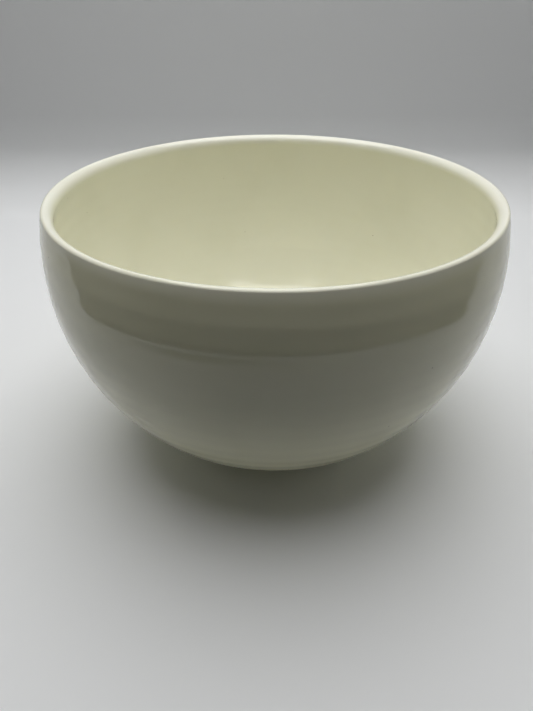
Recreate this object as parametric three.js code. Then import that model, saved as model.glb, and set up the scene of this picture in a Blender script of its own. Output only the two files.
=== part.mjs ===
// A deep round serving bowl in porcelain, glazed ivory inside and out.
// Millimetres, +Z up. The origin is the middle of the circle that the foot stands on.
//
// The bowl is thrown and fired in these pieces and coats:
//   bowl_body        the wall and floor, one shell of porcelain
//   foot_ring        the turned ring that the bowl stands on
//   foot_slip_joint  the thin bed of slip that joins the ring to the floor
//   inside_glaze     the coat from the middle of the floor up to the crest of the lip
//   outside_glaze    the coat from the crest down to the bare band of the foot
//   foot_well_glaze  the coat inside the ring and under the floor
//
// Outlines are drawn in the plane of one radius: x is the distance from the axis, y the height.
// Sizes of the wall are taken over the glaze, and a depth is measured inwards from the outer surface.

import * as THREE from 'three';

// The whole bowl
const bowlWidth = 230;          // across the widest circle of the belly
const bowlHeight = 145;         // from the table to the crest of the lip
const mouthWidth = 221.2;       // across the outside of the lip
const shoulderHeight = 33.6;    // from the widest circle up to the crest of the lip

// The wall and floor
const wallThickness = 5.8;
const lipEdgeRadius = 1.4;      // the outer edge of the lip; the rest of the wall rolls to the inside
const floorThickness = 6.2;     // porcelain at the middle of the floor
const floorTurnAngle = 36;      // degrees below the widest circle where the inside turns to the floor
const floorTurnTension = 0.72;  // 0 cuts the turn straight across, 1 makes it a corner

// The foot
const footWidth = 100;          // across the outside of the ring
const footHeight = 7;           // from the table to where the belly begins
const footFlare = 2.2;          // how far the ring spreads to meet the belly
const footWall = 5.6;           // thickness of the ring
const footEdgeRadius = 0.8;     // rounding on both sides of the standing face
const bareBand = 2;             // height of the ring that is wiped free of glaze
const slipThickness = 0.4;      // bed of slip between the ring and the floor

// The glaze
const glazeThickness = 0.35;
const glazeSeat = 0.002;        // clearance that keeps a coat from cutting into the porcelain
const wellPoolRadius = 1.6;     // glaze pooled in the corner under the floor

// How finely the round shapes are divided
const turns = 48;               // flat sides around the axis
const lipEdgeSteps = 3;         // from the crest over the outer edge of the lip
const lipRollSteps = 4;         // from the inside wall up to the crest
const shoulderSteps = 3;
const bellySteps = 10;
const insideBellySteps = 4;
const floorSteps = 6;
const flareSteps = 3;
const edgeSteps = 2;
const slopeStep = 0.01;         // radians of belly over which its slope is measured

// Where the curves of the wall begin and end
const bellyRadius = bowlWidth / 2;
const bellyHeight = bowlHeight - shoulderHeight;
const footRadius = footWidth / 2;
const footInnerRadius = footRadius - footWall;
const coatDepth = glazeThickness - glazeSeat;
const lipRollRadius = wallThickness - lipEdgeRadius;
const lipHeight = bowlHeight - lipEdgeRadius;

// The shoulder is an arc that leaves the widest circle upright and leans in to the mouth.
// The arc is found at the depth where the small rounding of the lip's outer edge has its centre.
const shoulderLean = (bowlWidth - mouthWidth) / 2;
const shoulderRise = lipHeight - bellyHeight;
const lipCentreRadius = (shoulderRise ** 2 + shoulderLean ** 2) / (2 * shoulderLean);
const shoulderAngle = Math.asin(shoulderRise / lipCentreRadius);
const shoulderRadius = lipCentreRadius + lipEdgeRadius;

// The large rounding that rolls to the inside has its centre at the same depth, further down the
// wall. The two roundings share a tangent at the lip joint angle.
const lipStepBack = 2 * Math.asin((lipRollRadius - lipEdgeRadius) / (2 * lipCentreRadius));
const rollAngle = shoulderAngle - lipStepBack;
const lipJointAngle = (shoulderAngle + rollAngle + Math.PI) / 2;
const crestAngle = Math.PI / 2;

// The belly is part of an ellipse that leaves the widest circle upright and comes down to the foot.
const bellyEndRadius = footRadius + footFlare;
const bellyEndDrop = bellyHeight - footHeight;
const bellyDepth = bellyEndDrop / Math.sqrt(1 - (bellyEndRadius / bellyRadius) ** 2);
const bellyEndAngle = -Math.asin(bellyEndDrop / bellyDepth);
const slipTopAngle = bellyEndAngle + slipThickness / (bellyDepth * Math.cos(bellyEndAngle));

function shoulderPoint(angle, depth) {
  const radius = shoulderRadius - depth;
  return new THREE.Vector2(
    bellyRadius - shoulderRadius + radius * Math.cos(angle),
    bellyHeight + radius * Math.sin(angle),
  );
}

function bellyPoint(angle, depth) {
  const surface = new THREE.Vector2(
    bellyRadius * Math.cos(angle),
    bellyHeight + bellyDepth * Math.sin(angle),
  );
  const outward = new THREE.Vector2(
    Math.cos(angle) / bellyRadius,
    Math.sin(angle) / bellyDepth,
  ).normalize();
  return surface.addScaledVector(outward, -depth);
}

function roundingPoint(centre, radius, angle) {
  return new THREE.Vector2(
    centre.x + radius * Math.cos(angle),
    centre.y + radius * Math.sin(angle),
  );
}

function lipEdgePoint(angle, inset) {
  const centre = shoulderPoint(shoulderAngle, lipEdgeRadius);
  return roundingPoint(centre, lipEdgeRadius - inset, angle);
}

function lipRollPoint(angle, inset) {
  const centre = shoulderPoint(rollAngle, lipEdgeRadius);
  return roundingPoint(centre, lipRollRadius - inset, angle);
}

function bellySlope(angle, depth) {
  const here = bellyPoint(angle, depth);
  const beside = bellyPoint(angle + slopeStep, depth);
  return (beside.y - here.y) / (beside.x - here.x);
}

// Points of a curve given by an angle, from one angle to another, both ends included.
function sweep(pointAt, from, to, steps) {
  const points = [];
  for (let step = 0; step <= steps; step += 1) {
    points.push(pointAt(from + (to - from) * (step / steps)));
  }
  return points;
}

// Joins runs of points, where each run starts on the last point of the one before.
function chain(...runs) {
  return runs.flatMap((run, index) => (index === 0 ? run : run.slice(1)));
}

// The two flat levels of the slip joint, where it meets the porcelain of the belly.
const underFloorHeight = bellyPoint(slipTopAngle, glazeThickness).y;
const ringTopHeight = bellyPoint(bellyEndAngle, glazeThickness).y;
const floorHeight = underFloorHeight + floorThickness + glazeThickness;

// From the crest of the lip down the outside to the level of the floor's underside.
function outsideWall(inset) {
  const edge = sweep((angle) => lipEdgePoint(angle, inset), crestAngle, shoulderAngle, lipEdgeSteps);
  const shoulder = sweep((angle) => shoulderPoint(angle, inset), shoulderAngle, 0, shoulderSteps);
  const belly = sweep((angle) => bellyPoint(angle, inset), 0, slipTopAngle, bellySteps);
  return chain(edge, shoulder, belly);
}

// From the end of the belly down the spreading side of the ring to the glaze line.
function footSide(inset) {
  const top = bellyPoint(bellyEndAngle, inset);
  const side = footRadius - inset;
  const cornerY = top.y - bellySlope(bellyEndAngle, inset) * (top.x - side);
  const corner = new THREE.Vector2(side, cornerY);
  const bottom = new THREE.Vector2(side, bareBand);
  return new THREE.QuadraticBezierCurve(top, corner, bottom).getPoints(flareSteps);
}

// From the middle of the floor up the inside to the crest of the lip.
function insideWall(inset) {
  const depth = wallThickness - inset;
  const turnAngle = -THREE.MathUtils.degToRad(floorTurnAngle);
  const turn = bellyPoint(turnAngle, depth);
  const middle = new THREE.Vector2(0, floorHeight - inset);
  const cornerX = turn.x - (turn.y - middle.y) / bellySlope(turnAngle, depth);
  const corner = new THREE.Vector2(cornerX, middle.y);
  const floor = new THREE.CubicBezierCurve(
    middle,
    middle.clone().lerp(corner, floorTurnTension),
    turn.clone().lerp(corner, floorTurnTension),
    turn,
  ).getPoints(floorSteps);
  const belly = sweep((angle) => bellyPoint(angle, depth), turnAngle, 0, insideBellySteps);
  const shoulder = sweep((angle) => shoulderPoint(angle, depth), 0, rollAngle, shoulderSteps);
  const rollStart = rollAngle + Math.PI;
  const roll = sweep((angle) => lipRollPoint(angle, inset), rollStart, lipJointAngle, lipRollSteps);
  const crest = [lipEdgePoint(lipJointAngle, inset), lipEdgePoint(crestAngle, inset)];
  return chain(floor, belly, shoulder, roll, crest);
}

// A quarter round, from one direction to the next, in degrees.
function quarterRound(x, y, radius, from, to) {
  const start = THREE.MathUtils.degToRad(from);
  const end = THREE.MathUtils.degToRad(to);
  const centre = new THREE.Vector2(x, y);
  return sweep((angle) => roundingPoint(centre, radius, angle), start, end, edgeSteps);
}

// Turns an outline about the axis. The outline runs with its material on the right-hand side,
// and it either starts and ends on the axis or is closed here.
function turned(outline) {
  const points = [...outline];
  if (points[0].x > 0) points.push(points[0].clone());
  const geometry = new THREE.LatheGeometry(points.reverse(), turns);
  return geometry.rotateX(Math.PI / 2);
}

function bowlBody() {
  const underside = [new THREE.Vector2(0, underFloorHeight)];
  const wall = chain(insideWall(glazeThickness), outsideWall(glazeThickness));
  return turned([...wall, ...underside]);
}

function footRing() {
  const outerX = footRadius - glazeThickness - footEdgeRadius;
  const innerX = footInnerRadius + footEdgeRadius;
  return turned([
    ...footSide(glazeThickness),
    ...quarterRound(outerX, footEdgeRadius, footEdgeRadius, 0, -90),
    ...quarterRound(innerX, footEdgeRadius, footEdgeRadius, -90, -180),
    new THREE.Vector2(footInnerRadius, ringTopHeight),
  ]);
}

function footSlipJoint() {
  return turned([
    bellyPoint(slipTopAngle, glazeThickness),
    bellyPoint(bellyEndAngle, glazeThickness),
    new THREE.Vector2(footInnerRadius, ringTopHeight),
    new THREE.Vector2(footInnerRadius, underFloorHeight),
  ]);
}

function insideGlaze() {
  return turned([...insideWall(0), ...insideWall(coatDepth).reverse()]);
}

function outsideGlaze() {
  const surface = [...outsideWall(0), ...footSide(0)];
  const backing = [...outsideWall(coatDepth), ...footSide(coatDepth)];
  return turned([...surface, ...backing.reverse()]);
}

function footWellGlaze() {
  const wallX = footInnerRadius - glazeThickness;
  const ceiling = underFloorHeight - glazeThickness;
  const backX = footInnerRadius - glazeSeat;
  const backHeight = underFloorHeight - glazeSeat;
  return turned([
    new THREE.Vector2(backX, bareBand),
    new THREE.Vector2(wallX, bareBand),
    ...quarterRound(wallX - wellPoolRadius, ceiling - wellPoolRadius, wellPoolRadius, 0, 90),
    new THREE.Vector2(0, ceiling),
    new THREE.Vector2(0, backHeight),
    new THREE.Vector2(backX, backHeight),
  ]);
}

function fired(color, roughness) {
  return new THREE.MeshStandardMaterial({ color, roughness, metalness: 0 });
}

const porcelain = () => fired('#ece7db', 0.75);
const slip = () => fired('#e2dccd', 0.85);
const ivoryGlaze = () => fired('#e6e4cf', 0.08);

function piece(name, geometry, material) {
  const mesh = new THREE.Mesh(geometry, material);
  mesh.name = name;
  return mesh;
}

const bowl = new THREE.Group();
bowl.name = 'porcelain_serving_bowl';
bowl.add(
  piece('bowl_body', bowlBody(), porcelain()),
  piece('foot_ring', footRing(), porcelain()),
  piece('foot_slip_joint', footSlipJoint(), slip()),
  piece('inside_glaze', insideGlaze(), ivoryGlaze()),
  piece('outside_glaze', outsideGlaze(), ivoryGlaze()),
  piece('foot_well_glaze', footWellGlaze(), ivoryGlaze()),
);

export default bowl;
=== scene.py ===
"""Looks of the porcelain serving bowl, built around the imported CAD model. Metres, +Z up."""
import math

import bmesh
import bpy
from mathutils import Matrix, Vector, noise


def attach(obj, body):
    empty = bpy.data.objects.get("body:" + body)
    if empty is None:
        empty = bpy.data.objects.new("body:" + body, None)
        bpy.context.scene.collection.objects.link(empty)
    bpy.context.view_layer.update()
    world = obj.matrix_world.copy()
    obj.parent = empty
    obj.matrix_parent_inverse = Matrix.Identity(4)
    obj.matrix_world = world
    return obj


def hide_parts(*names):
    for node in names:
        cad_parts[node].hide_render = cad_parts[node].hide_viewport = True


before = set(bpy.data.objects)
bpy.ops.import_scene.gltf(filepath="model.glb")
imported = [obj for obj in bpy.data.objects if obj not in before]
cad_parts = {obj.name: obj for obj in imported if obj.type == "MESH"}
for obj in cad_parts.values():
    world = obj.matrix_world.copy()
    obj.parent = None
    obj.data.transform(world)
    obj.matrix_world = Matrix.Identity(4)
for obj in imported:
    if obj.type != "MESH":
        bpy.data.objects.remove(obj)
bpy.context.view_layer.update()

# Fineness of the turned surfaces
TURNS = 288
LIP_EDGE_STEPS = 14
LIP_ROLL_STEPS = 20
SHOULDER_STEPS = 18
BELLY_STEPS = 72
FLOOR_STEPS = 34
INNER_BELLY_STEPS = 44
FLARE_STEPS = 12
EDGE_STEPS = 6

# The outer edge of the lip, and the turn from the inside wall to the floor, as in the CAD model
LIP_EDGE = 0.0014
FLOOR_TURN = math.radians(36)
FLOOR_TENSION = 0.72

# Marks of the potter's hand, too small for the CAD model
OVALITY = 0.00028
RING_DEPTH = 0.00005
RING_SPACING = 0.0085
SWELL_DEPTH = 0.00012
GLAZE_ROLL = 0.00022
ROLL_ANGLES = (30, 60, 90, 115, 140, 160)

# The well coat stands this far off the ring and the floor, so that the faces don't coincide
SEAT_GAP = 2e-6


# ---------------------------------------------------------------- sizes, measured on the CAD model

def rings(node):
    """The circles that a turned CAD node is made of, as (radius, height), rounded to a micron."""
    found = {
        (round(math.hypot(v.co.x, v.co.y), 6), round(v.co.z, 6))
        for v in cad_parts[node].data.vertices
    }
    return sorted(found)


outer_rings = rings("outside_glaze")
inner_rings = rings("inside_glaze")
foot_rings = rings("foot_ring")
slip_rings = rings("foot_slip_joint")
well_rings = rings("foot_well_glaze")

belly_radius, belly_height = outer_rings[-1]
crest_radius, bowl_height = max(outer_rings, key=lambda ring: ring[1])
inner_at_belly = [r for r, z in inner_rings if abs(z - belly_height) < 1e-5]
wall = belly_radius - min(inner_at_belly)
glaze = max(inner_at_belly) - min(inner_at_belly)
lip_roll = wall - LIP_EDGE
lip_height = bowl_height - LIP_EDGE
floor_height = max(z for r, z in inner_rings if r < 1e-5)
under_floor = max(z for r, z in slip_rings)
ring_top = min(z for r, z in slip_rings)
ring_inner = min(r for r, z in foot_rings)
glaze_line = min(z for r, z in outer_rings)
foot_radius = max(r for r, z in outer_rings if z < glaze_line + 1e-5)
edge_radius = min(z for r, z in foot_rings if z > 1e-5 and r < ring_inner + 1e-5)
well_ceiling = min(z for r, z in well_rings if r < 1e-5)
pool_radius = well_ceiling - min(z for r, z in well_rings if z > glaze_line + 1e-5)

# The shoulder is an arc from the widest circle to the lip; the belly is part of an ellipse.
mouth_radius = crest_radius + LIP_EDGE
lean = belly_radius - mouth_radius
rise = lip_height - belly_height
lip_arc = (rise ** 2 + lean ** 2) / (2 * lean)
shoulder_radius = lip_arc + LIP_EDGE
shoulder_angle = math.asin(rise / lip_arc)

# The lip has a small rounding at its outer edge and a large one that rolls to the inside.
roll_angle = shoulder_angle - 2 * math.asin((lip_roll - LIP_EDGE) / (2 * lip_arc))
lip_joint = (shoulder_angle + roll_angle + math.pi) / 2
low_radius, low_height = min((ring for ring in outer_rings if ring[0] > belly_radius / 2),
                             key=lambda ring: ring[1])
belly_depth = (belly_height - low_height) / math.sqrt(1 - (low_radius / belly_radius) ** 2)


def belly_angle(node_rings, height):
    """The angle on the belly where the porcelain under the glaze passes that height."""
    radius = max(r for r, z in node_rings if abs(z - height) < 1e-5)
    return -math.atan2((belly_height - height) / belly_depth, radius / belly_radius)


foot_angle = belly_angle(slip_rings, ring_top)
slip_angle = belly_angle(slip_rings, under_floor)


# ---------------------------------------------------------------- outlines, as (radius, height)

def shoulder_point(angle, depth):
    radius = shoulder_radius - depth
    return (belly_radius - shoulder_radius + radius * math.cos(angle),
            belly_height + radius * math.sin(angle))


def belly_point(angle, depth):
    across, up = math.cos(angle) / belly_radius, math.sin(angle) / belly_depth
    length = math.hypot(across, up)
    return (belly_radius * math.cos(angle) - depth * across / length,
            belly_height + belly_depth * math.sin(angle) - depth * up / length)


def lip_edge_point(angle, inset):
    x, y = shoulder_point(shoulder_angle, LIP_EDGE)
    radius = LIP_EDGE - inset
    return x + radius * math.cos(angle), y + radius * math.sin(angle)


def lip_roll_point(angle, inset):
    x, y = shoulder_point(roll_angle, LIP_EDGE)
    radius = lip_roll - inset
    return x + radius * math.cos(angle), y + radius * math.sin(angle)


def sweep(point_at, start, end, steps):
    return [point_at(start + (end - start) * step / steps) for step in range(steps + 1)]


def bezier(points, steps):
    """A Bezier curve through its first and last point, drawn by de Casteljau's rule."""
    curve = []
    for step in range(steps + 1):
        t = step / steps
        row = list(points)
        while len(row) > 1:
            row = [(a[0] + (b[0] - a[0]) * t, a[1] + (b[1] - a[1]) * t)
                   for a, b in zip(row, row[1:])]
        curve.append(row[0])
    return curve


def between(a, b, share):
    return a[0] + (b[0] - a[0]) * share, a[1] + (b[1] - a[1]) * share


def chain(*runs):
    """Joins runs of points, where each run starts on the last point of the one before."""
    joined = list(runs[0])
    for run in runs[1:]:
        joined += run[1:]
    return joined


def slope_of(angle, depth):
    a, b = belly_point(angle, depth), belly_point(angle + 0.001, depth)
    return (b[1] - a[1]) / (b[0] - a[0])


def inside_wall(inset):
    """From the middle of the floor up the inside to the crest of the lip."""
    depth = wall - inset
    turn = belly_point(-FLOOR_TURN, depth)
    middle = (0, floor_height - inset)
    corner = (turn[0] - (turn[1] - middle[1]) / slope_of(-FLOOR_TURN, depth), middle[1])
    floor = bezier([middle, between(middle, corner, FLOOR_TENSION),
                    between(turn, corner, FLOOR_TENSION), turn], FLOOR_STEPS)
    belly = sweep(lambda a: belly_point(a, depth), -FLOOR_TURN, 0, INNER_BELLY_STEPS)
    shoulder = sweep(lambda a: shoulder_point(a, depth), 0, roll_angle, SHOULDER_STEPS)
    roll = sweep(lambda a: lip_roll_point(a, inset), roll_angle + math.pi, lip_joint, LIP_ROLL_STEPS)
    crest = sweep(lambda a: lip_edge_point(a, inset), lip_joint, math.pi / 2, 3)
    return chain(floor, belly, shoulder, roll, crest)


def outside_wall(inset):
    """From the crest of the lip down the outside to the foot."""
    lip = sweep(lambda a: lip_edge_point(a, inset), math.pi / 2, shoulder_angle, LIP_EDGE_STEPS)
    shoulder = sweep(lambda a: shoulder_point(a, inset), shoulder_angle, 0, SHOULDER_STEPS)
    belly = sweep(lambda a: belly_point(a, inset), 0, foot_angle, BELLY_STEPS)
    return chain(lip, shoulder, belly)


def foot_side(inset):
    """From the end of the belly down the spreading side of the ring to the glaze line."""
    top = belly_point(foot_angle, inset)
    side = foot_radius - inset
    corner = (side, top[1] - slope_of(foot_angle, inset) * (top[0] - side))
    return bezier([top, corner, (side, glaze_line)], FLARE_STEPS)


def glazed_foot_side():
    """The glazed side of the foot, where the coat ends in a thick rounded roll."""
    run = foot_side(0)
    roll = [(foot_radius + GLAZE_ROLL * math.sin(a) ** 2, glaze_line + glaze * (1 + math.cos(a)))
            for a in map(math.radians, ROLL_ANGLES)]
    under = (foot_radius - glaze, glaze_line)
    return [p for p in run if p[1] > glaze_line + 2.2 * glaze] + roll + [under]


def round_edge(x, y, radius, start, end):
    return sweep(lambda a: (x + radius * math.cos(a), y + radius * math.sin(a)),
                 math.radians(start), math.radians(end), EDGE_STEPS)


# ---------------------------------------------------------------- turned meshes

def unevenness(angle, radius, height):
    """How far the potter's hand moved the wall outwards at this place."""
    level = height / bowl_height
    oval = OVALITY * math.cos(2 * angle + 0.9) * level
    ring = RING_DEPTH * math.sin(2 * math.pi * height / RING_SPACING + angle)
    place = Vector((math.cos(angle) * 0.8, math.sin(angle) * 0.8, height * 38))
    swell = SWELL_DEPTH * noise.noise(place)
    share = min(1, radius / (belly_radius * 0.5)) * min(1, height / (bowl_height * 0.2))
    return (oval + ring + swell) * share


def turned(name, outline, by_hand=True):
    """A closed smooth solid: the outline, given from the axis or closed on itself, goes round."""
    mesh = bmesh.new()
    rows = []
    for radius, height in outline:
        if radius < 1e-7:
            rows.append([mesh.verts.new((0, 0, height))])
            continue
        row = []
        for step in range(TURNS):
            angle = 2 * math.pi * step / TURNS
            r = radius + (unevenness(angle, radius, height) if by_hand else 0)
            row.append(mesh.verts.new((r * math.cos(angle), r * math.sin(angle), height)))
        rows.append(row)
    if len(rows[0]) > 1:
        rows.append(rows[0])
    for low, high in zip(rows, rows[1:]):
        for i in range(TURNS):
            j = (i + 1) % TURNS
            corners = [low[i % len(low)], low[j % len(low)], high[j % len(high)], high[i % len(high)]]
            kept = list(dict.fromkeys(corners))
            if len(kept) > 2:
                mesh.faces.new(kept)
    bmesh.ops.recalc_face_normals(mesh, faces=mesh.faces)
    data = bpy.data.meshes.new(name)
    mesh.to_mesh(data)
    mesh.free()
    data.shade_smooth()
    data.set_sharp_from_angle(angle=math.radians(50))
    piece = bpy.data.objects.new(name, data)
    bpy.context.scene.collection.objects.link(piece)
    return piece


def glazed_wall():
    """The fired wall and floor with the coats that are fused to it."""
    outside = [p for p in outside_wall(0) if p[1] > glaze_line]
    bare_side = foot_side(glaze)
    bare_belly = belly_point(slip_angle, glaze)
    outline = chain(inside_wall(0), outside)
    outline += glazed_foot_side()[1:]
    outline += [p for p in reversed(bare_side) if p[1] > glaze_line + 1e-5]
    outline += [bare_belly, (0, under_floor)]
    return turned("glazed_wall", outline)


def turned_foot():
    outer = foot_radius - glaze - edge_radius
    inner = ring_inner + edge_radius
    outline = foot_side(glaze)
    outline += round_edge(outer, edge_radius, edge_radius, 0, -90)
    outline += round_edge(inner, edge_radius, edge_radius, -90, -180)
    outline += [(ring_inner, ring_top)]
    return turned("turned_foot", outline)


def foot_well_coat():
    side = ring_inner - glaze
    centre = side - pool_radius
    outline = [(ring_inner - SEAT_GAP, glaze_line), (side + glaze * 0.4, glaze_line),
               (side, glaze_line + glaze)]
    outline += round_edge(centre, well_ceiling - pool_radius, pool_radius, 0, 90)
    outline += [(centre * 0.66, well_ceiling), (centre * 0.33, well_ceiling), (0, well_ceiling)]
    outline += [(0, under_floor - SEAT_GAP), (ring_inner - SEAT_GAP, under_floor - SEAT_GAP)]
    return turned("foot_well_coat", outline)


# ---------------------------------------------------------------- materials

def new_material(name):
    material = bpy.data.materials.new(name)
    material.use_nodes = True
    tree = material.node_tree
    shader = next(n for n in tree.nodes if n.type == "BSDF_PRINCIPLED")
    return material, tree, shader


def node(tree, kind, **values):
    made = tree.nodes.new(kind)
    for key, value in values.items():
        if hasattr(made, key):
            setattr(made, key, value)
        else:
            made.inputs[key].default_value = value
    return made


def grain(tree, scale, detail, stretch=(1, 1, 1)):
    """Noise over the object's own coordinates, with scale in patches a metre."""
    place = tree.nodes.new("ShaderNodeTexCoord")
    mapping = tree.nodes.new("ShaderNodeMapping")
    mapping.inputs["Scale"].default_value = stretch
    tree.links.new(place.outputs["Object"], mapping.inputs["Vector"])
    texture = tree.nodes.new("ShaderNodeTexNoise")
    texture.inputs["Scale"].default_value = scale
    texture.inputs["Detail"].default_value = detail
    tree.links.new(mapping.outputs["Vector"], texture.inputs["Vector"])
    return texture


def ramp(tree, source, stops):
    made = tree.nodes.new("ShaderNodeValToRGB")
    elements = made.color_ramp.elements
    while len(elements) < len(stops):
        elements.new(0.5)
    for element, (place, colour) in zip(elements, stops):
        element.position = place
        element.color = (*colour, 1)
    tree.links.new(source, made.inputs["Fac"])
    return made.outputs["Color"]


def span(tree, source, low, high, to_low, to_high):
    made = tree.nodes.new("ShaderNodeMapRange")
    made.inputs["From Min"].default_value = low
    made.inputs["From Max"].default_value = high
    made.inputs["To Min"].default_value = to_low
    made.inputs["To Max"].default_value = to_high
    tree.links.new(source, made.inputs["Value"])
    return made.outputs["Result"]


def product(tree, a, b):
    made = node(tree, "ShaderNodeMath", operation="MULTIPLY")
    tree.links.new(a, made.inputs[0])
    tree.links.new(b, made.inputs[1])
    return made.outputs[0]


def blend_colours(tree, kind, share, a, b):
    """Mixes two colours, each an output or a plain colour, by a share that is an output."""
    made = tree.nodes.new("ShaderNodeMix")
    made.data_type = "RGBA"
    made.blend_type = kind
    tree.links.new(share, made.inputs[0])
    for socket, value in ((made.inputs[6], a), (made.inputs[7], b)):
        if isinstance(value, tuple):
            socket.default_value = (*value, 1)
        else:
            tree.links.new(value, socket)
    return made.outputs[2]


def bump(tree, shader, layers):
    """Chains bump layers, each (height output, distance in metres, strength)."""
    last = None
    for height, distance, strength in layers:
        made = tree.nodes.new("ShaderNodeBump")
        made.inputs["Distance"].default_value = distance
        made.inputs["Strength"].default_value = strength
        tree.links.new(height, made.inputs["Height"])
        if last:
            tree.links.new(last, made.inputs["Normal"])
        last = made.outputs["Normal"]
    tree.links.new(last, shader.inputs["Normal"])


def height_of_surface(tree):
    place = tree.nodes.new("ShaderNodeTexCoord")
    parts = tree.nodes.new("ShaderNodeSeparateXYZ")
    tree.links.new(place.outputs["Object"], parts.inputs["Vector"])
    return parts.outputs["Z"]


def outward_share(tree):
    """1 where the surface faces away from the axis of the bowl, 0 where it faces the axis."""
    place = tree.nodes.new("ShaderNodeTexCoord")
    across = tree.nodes.new("ShaderNodeVectorMath")
    across.operation = "MULTIPLY"
    across.inputs[1].default_value = (1, 1, 0)
    tree.links.new(place.outputs["Object"], across.inputs[0])
    facing = tree.nodes.new("ShaderNodeVectorMath")
    facing.operation = "DOT_PRODUCT"
    tree.links.new(across.outputs["Vector"], facing.inputs[0])
    tree.links.new(place.outputs["Normal"], facing.inputs[1])
    return span(tree, facing.outputs["Value"], -0.01, 0.02, 0.0, 1.0)


def glaze_colour(tree):
    """Ivory, a little yellower outside, darker where it pools, and paler at the lip, where it runs
    thin and a highlight is painted.
    """
    clouds = grain(tree, 22, 3)
    body = ramp(tree, clouds.outputs["Fac"], [
        (0.30, (0.780, 0.773, 0.640)),
        (0.52, (0.806, 0.799, 0.672)),
        (0.75, (0.820, 0.811, 0.685)),
    ])
    outside = blend_colours(tree, "MULTIPLY", outward_share(tree), body, (1.0, 0.992, 0.87))
    height = height_of_surface(tree)
    # Partly thin glaze, partly painted highlight: the top of the lip is made paler.
    thin_glaze_and_painted_highlight = span(tree, height, lip_height - 0.004, bowl_height, 0.0, 0.55)
    paler = blend_colours(tree, "MIX", thin_glaze_and_painted_highlight, outside, (0.88, 0.875, 0.79))
    pooled = span(tree, height, glaze_line + 0.006, glaze_line, 0.0, 0.5)
    return blend_colours(tree, "MIX", pooled, paler, (0.74, 0.72, 0.54))


def rare_specks(tree):
    """1 on the few small iron specks, 0 elsewhere."""
    specks = node(tree, "ShaderNodeTexVoronoi", Scale=160.0)
    place = tree.nodes.new("ShaderNodeTexCoord")
    tree.links.new(place.outputs["Object"], specks.inputs["Vector"])
    near = span(tree, specks.outputs["Distance"], 0.035, 0.06, 1.0, 0.0)
    chance = grain(tree, 90, 0)
    rare = span(tree, chance.outputs["Fac"], 0.69, 0.72, 0.0, 1.0)
    return product(tree, near, rare)


def ivory_glaze():
    material, tree, shader = new_material("ivory_glaze")
    spotted = blend_colours(tree, "MIX", rare_specks(tree), glaze_colour(tree), (0.33, 0.27, 0.17))
    tree.links.new(spotted, shader.inputs["Base Color"])
    sheen = grain(tree, 60, 4)
    tree.links.new(span(tree, sheen.outputs["Fac"], 0.3, 0.7, 0.05, 0.10), shader.inputs["Roughness"])
    shader.inputs["IOR"].default_value = 1.5
    shader.inputs["Subsurface Weight"].default_value = 0.2
    shader.inputs["Subsurface Radius"].default_value = (1.0, 0.93, 0.8)
    shader.inputs["Subsurface Scale"].default_value = 0.0008
    bands = grain(tree, 1, 2, stretch=(5, 5, 260))
    peel = grain(tree, 210, 2)
    swells = grain(tree, 34, 1)
    bump(tree, shader, [
        (bands.outputs["Fac"], 0.00005, 0.6),
        (swells.outputs["Fac"], 0.00030, 0.35),
        (peel.outputs["Fac"], 0.00002, 0.30),
    ])
    return material


def bare_porcelain():
    material, tree, shader = new_material("bare_porcelain")
    clouds = grain(tree, 70, 5)
    clay = ramp(tree, clouds.outputs["Fac"], [
        (0.32, (0.700, 0.650, 0.560)),
        (0.55, (0.790, 0.755, 0.680)),
        (0.75, (0.830, 0.805, 0.745)),
    ])
    height = height_of_surface(tree)
    scuffs = grain(tree, 420, 4)
    worn = span(tree, height, 0.0009, 0.0, 0.0, 1.0)
    patchy = span(tree, scuffs.outputs["Fac"], 0.42, 0.62, 0.0, 0.75)
    scuffed = product(tree, worn, patchy)
    colour = blend_colours(tree, "MIX", scuffed, clay, (0.42, 0.39, 0.34))
    tree.links.new(colour, shader.inputs["Base Color"])
    tree.links.new(span(tree, clouds.outputs["Fac"], 0.3, 0.7, 0.62, 0.85), shader.inputs["Roughness"])
    shader.inputs["Subsurface Weight"].default_value = 0.15
    shader.inputs["Subsurface Radius"].default_value = (1.0, 0.9, 0.7)
    shader.inputs["Subsurface Scale"].default_value = 0.0006
    grit = grain(tree, 2600, 3)
    turning = grain(tree, 1, 2, stretch=(40, 40, 3000))
    bump(tree, shader, [
        (turning.outputs["Fac"], 0.00004, 0.5),
        (grit.outputs["Fac"], 0.00003, 0.6),
    ])
    return material


def joining_slip():
    material, tree, shader = new_material("joining_slip")
    clouds = grain(tree, 300, 4)
    colour = ramp(tree, clouds.outputs["Fac"], [
        (0.3, (0.66, 0.62, 0.53)),
        (0.7, (0.76, 0.73, 0.66)),
    ])
    tree.links.new(colour, shader.inputs["Base Color"])
    tree.links.new(span(tree, clouds.outputs["Fac"], 0.3, 0.7, 0.75, 0.95), shader.inputs["Roughness"])
    bump(tree, shader, [(clouds.outputs["Fac"], 0.0001, 0.5)])
    return material


def pale_paper():
    material, tree, shader = new_material("pale_paper")
    fibres = grain(tree, 900, 4)
    clouds = grain(tree, 3, 2)
    floor_colour = ramp(tree, clouds.outputs["Fac"], [
        (0.35, (0.748, 0.758, 0.762)),
        (0.65, (0.768, 0.776, 0.780)),
    ])
    # Painted shade: the same paper is made darker up the wall than on the floor.
    painted_wall_shade = span(tree, height_of_surface(tree), 0.0, WALL_SHADE_HEIGHT, 0.0, 1.0)
    colour = blend_colours(tree, "MIX", painted_wall_shade, floor_colour, (0.560, 0.566, 0.570))
    tree.links.new(colour, shader.inputs["Base Color"])
    shader.inputs["Roughness"].default_value = 0.8
    shader.inputs["Specular IOR Level"].default_value = 0.2
    bump(tree, shader, [(fibres.outputs["Fac"], 0.00002, 0.3)])
    return material


# ---------------------------------------------------------------- the bowl

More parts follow.
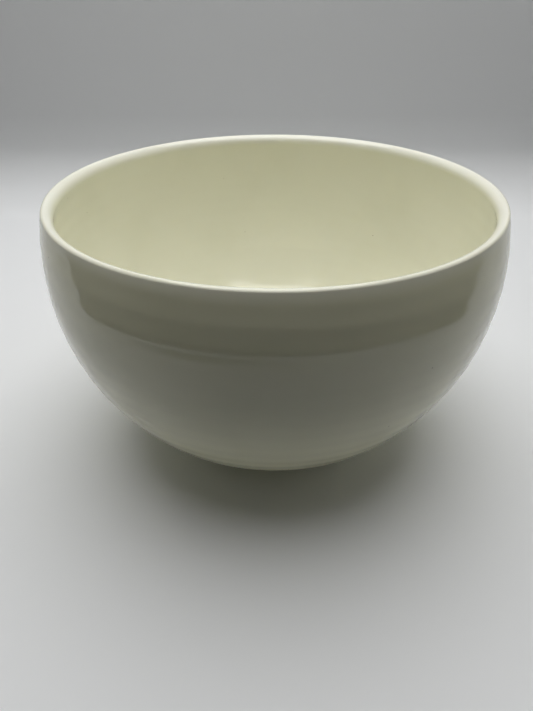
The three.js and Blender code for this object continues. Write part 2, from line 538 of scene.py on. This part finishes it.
GLAZE = ivory_glaze()
CLAY = bare_porcelain()
SLIP = joining_slip()


def finish_piece(piece, material, slot, *nodes):
    piece.data.materials.append(material)
    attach(piece, "root")
    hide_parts(*nodes)


finish_piece(glazed_wall(), GLAZE, "ivory_glaze", "bowl_body", "inside_glaze", "outside_glaze")
finish_piece(turned_foot(), CLAY, "fired_porcelain", "foot_ring")
finish_piece(foot_well_coat(), GLAZE, "ivory_glaze", "foot_well_glaze")

slip_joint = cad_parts["foot_slip_joint"]
slip_joint.data.materials.clear()
slip_joint.data.materials.append(SLIP)


# ---------------------------------------------------------------- the stage

SHEET_HALF_WIDTH = 2.45 * mouth_radius
SHADED_FRONT = -1.82 * mouth_radius
SHEET_BACK = 3.7 * mouth_radius
SWEEP_RADIUS = 0.60 * mouth_radius
SWEEP_FOOT = SHEET_BACK - SWEEP_RADIUS
SWEEP_OVERLAP = 0.001
WALL_TOP = 7.0 * mouth_radius
WALL_SHADE_HEIGHT = 0.10
SWEEP_STEPS = 16
STAGE_HALF_WIDTH = 2.6
STAGE_FRONT = -2.6

# The lit pool of paper that shows in the glaze: round in front, slanting to the back, then straight
LIT_REACH = 3.06 * mouth_radius
LIT_CORNER = 3.0 * mouth_radius
LIT_SLANT = 0.38
LIT_END = 1.1
POOL_STEPS = 24

PAPER = pale_paper()


def flat_run(front, back):
    return [(front, 0), (back, 0)]


def sweep_run():
    """(distance back, height) of the paper where it turns up into the background."""
    outline = flat_run(SWEEP_FOOT - SWEEP_OVERLAP, SWEEP_FOOT)
    for step in range(1, SWEEP_STEPS + 1):
        angle = math.pi / 2 * step / SWEEP_STEPS
        outline.append((SHEET_BACK - SWEEP_RADIUS * (1 - math.sin(angle)),
                        SWEEP_RADIUS * (1 - math.cos(angle))))
    return outline + [(SHEET_BACK, WALL_TOP)]


def lit_edge(x):
    """How far forward the lit pool reaches at this distance sideways."""
    across = min(abs(x), LIT_CORNER)
    beyond = min(abs(x), LIT_END) - across
    return beyond * LIT_SLANT - math.sqrt(LIT_REACH ** 2 - across ** 2)


def evenly(start, end, steps):
    return [start + (end - start) * step / steps for step in range(steps + 1)]


def paper(name, across, outline_at, lights_bowl, shows_in_glaze):
    """A strip of the pale sweep, which may be left out of the bounced light and of reflections.

    It has an outline, as (y, z), at each place across. The paper casts no shadow, so the side
    lights reach the bowl past the background.
    """
    mesh = bmesh.new()
    rows = [[mesh.verts.new((x, y, z)) for y, z in outline_at(x)] for x in sorted(across)]
    for left, right in zip(rows, rows[1:]):
        for i in range(len(left) - 1):
            mesh.faces.new((left[i], right[i], right[i + 1], left[i + 1]))
    data = bpy.data.meshes.new(name)
    mesh.to_mesh(data)
    mesh.free()
    data.shade_smooth()
    data.materials.append(PAPER)
    strip = bpy.data.objects.new(name, data)
    bpy.context.scene.collection.objects.link(strip)
    strip.visible_diffuse = lights_bowl
    strip.visible_glossy = shows_in_glaze
    strip.visible_shadow = False


# These strips aren't a physical room. The near paper gives the bowl no bounced light, and the paper
# beyond the lit pool is kept out of the glaze as well, which makes the dark band on the outside.
middle = evenly(-SHEET_HALF_WIDTH, SHEET_HALF_WIDTH, 2 * POOL_STEPS)
paper("floor_sheet", middle, lambda x: [(SHADED_FRONT, 0)] + sweep_run(), True, True)
paper("floor_near", middle, lambda x: flat_run(lit_edge(x), SHADED_FRONT), False, True)
paper("floor_front", middle, lambda x: flat_run(STAGE_FRONT, lit_edge(x)), False, False)
for side, sign in (("left", -1), ("right", 1)):
    beside = evenly(sign * SHEET_HALF_WIDTH, sign * LIT_CORNER, POOL_STEPS)
    beside += [sign * LIT_END, sign * STAGE_HALF_WIDTH]
    paper("floor_front_" + side, beside, lambda x: flat_run(STAGE_FRONT, lit_edge(x)), False, False)
    paper("floor_back_" + side, beside, lambda x: [(lit_edge(x), 0)] + sweep_run(), True, True)


def aim(thing, target):
    thing.rotation_mode = "QUATERNION"
    direction = Vector(target) - thing.location
    thing.rotation_quaternion = direction.to_track_quat("-Z", "Y")


def softbox(name, place, target, width, depth, watts, lights=True, shines=True):
    """An oval soft light, which may be left out of diffuse surfaces or of reflections."""
    data = bpy.data.lights.new(name, "AREA")
    data.shape = "ELLIPSE"
    data.size = width
    data.size_y = depth
    data.energy = watts
    lamp = bpy.data.objects.new(name, data)
    bpy.context.scene.collection.objects.link(lamp)
    lamp.location = place
    lamp.visible_camera = False
    lamp.visible_diffuse = lights
    lamp.visible_glossy = shines
    aim(lamp, target)
    return lamp


softbox("overhead", (-0.02, 0.03, 1.1), (0, 0.0, 0), 1.05, 1.05, 9.6)
softbox("back_top", (-0.05, 0.30, 0.62), (-0.05, 0.26, 0), 1.2, 0.34, 1.1, shines=False)
softbox("left_fill", (-2.5, 0.50, 1.10), (0, 0, 0.1), 3.4, 2.2, 5.2)
softbox("right_fill", (2.5, 0.50, 1.10), (0, 0, 0.1), 3.4, 2.2, 7.6)
softbox("glint", (0.0, -0.77, 0.97), (0, 0, 0.1), 1.3, 0.10, 1.3, lights=False)

world = bpy.data.worlds.new("studio")
bpy.context.scene.world = world
world.use_nodes = True
background = world.node_tree.nodes["Background"]
background.inputs["Color"].default_value = (0.30, 0.305, 0.31, 1)
background.inputs["Strength"].default_value = 1
world.cycles_visibility.diffuse = False
world.cycles_visibility.glossy = False
world.cycles_visibility.transmission = False
world.cycles_visibility.scatter = False


# ---------------------------------------------------------------- the camera

# The lens is assumed to be 26 mm-equivalent, and the other values were fitted with it.
CAMERA_BACK = 2.4101 * mouth_radius
CAMERA_ABOVE_LIP = 0.7674 * mouth_radius
CAMERA_PITCH = math.radians(35.00)
CAMERA_YAW = math.radians(-0.854)
CAMERA_ROLL = math.radians(-0.206)
LENS = 27.04
SENSOR = 36.0


def make_camera():
    data = bpy.data.cameras.new("camera")
    data.lens = LENS
    data.sensor_width = SENSOR
    data.clip_start = 0.01
    camera = bpy.data.objects.new("camera", data)
    bpy.context.scene.collection.objects.link(camera)
    forward = Vector((math.sin(CAMERA_YAW) * math.cos(CAMERA_PITCH),
                      math.cos(CAMERA_YAW) * math.cos(CAMERA_PITCH),
                      -math.sin(CAMERA_PITCH)))
    level = Vector((math.cos(CAMERA_YAW), -math.sin(CAMERA_YAW), 0))
    upright = level.cross(forward)
    right = level * math.cos(CAMERA_ROLL) + upright * math.sin(CAMERA_ROLL)
    up = upright * math.cos(CAMERA_ROLL) - level * math.sin(CAMERA_ROLL)
    turn = Matrix((right, up, -forward)).transposed().to_4x4()
    turn.translation = (0, -CAMERA_BACK, lip_height + CAMERA_ABOVE_LIP)
    camera.matrix_world = turn
    bpy.context.scene.camera = camera


make_camera()

scene = bpy.context.scene
scene.view_settings.view_transform = "Standard"
scene.view_settings.look = "None"
scene.cycles.max_bounces = 12
scene.cycles.diffuse_bounces = 8
scene.cycles.caustics_reflective = False
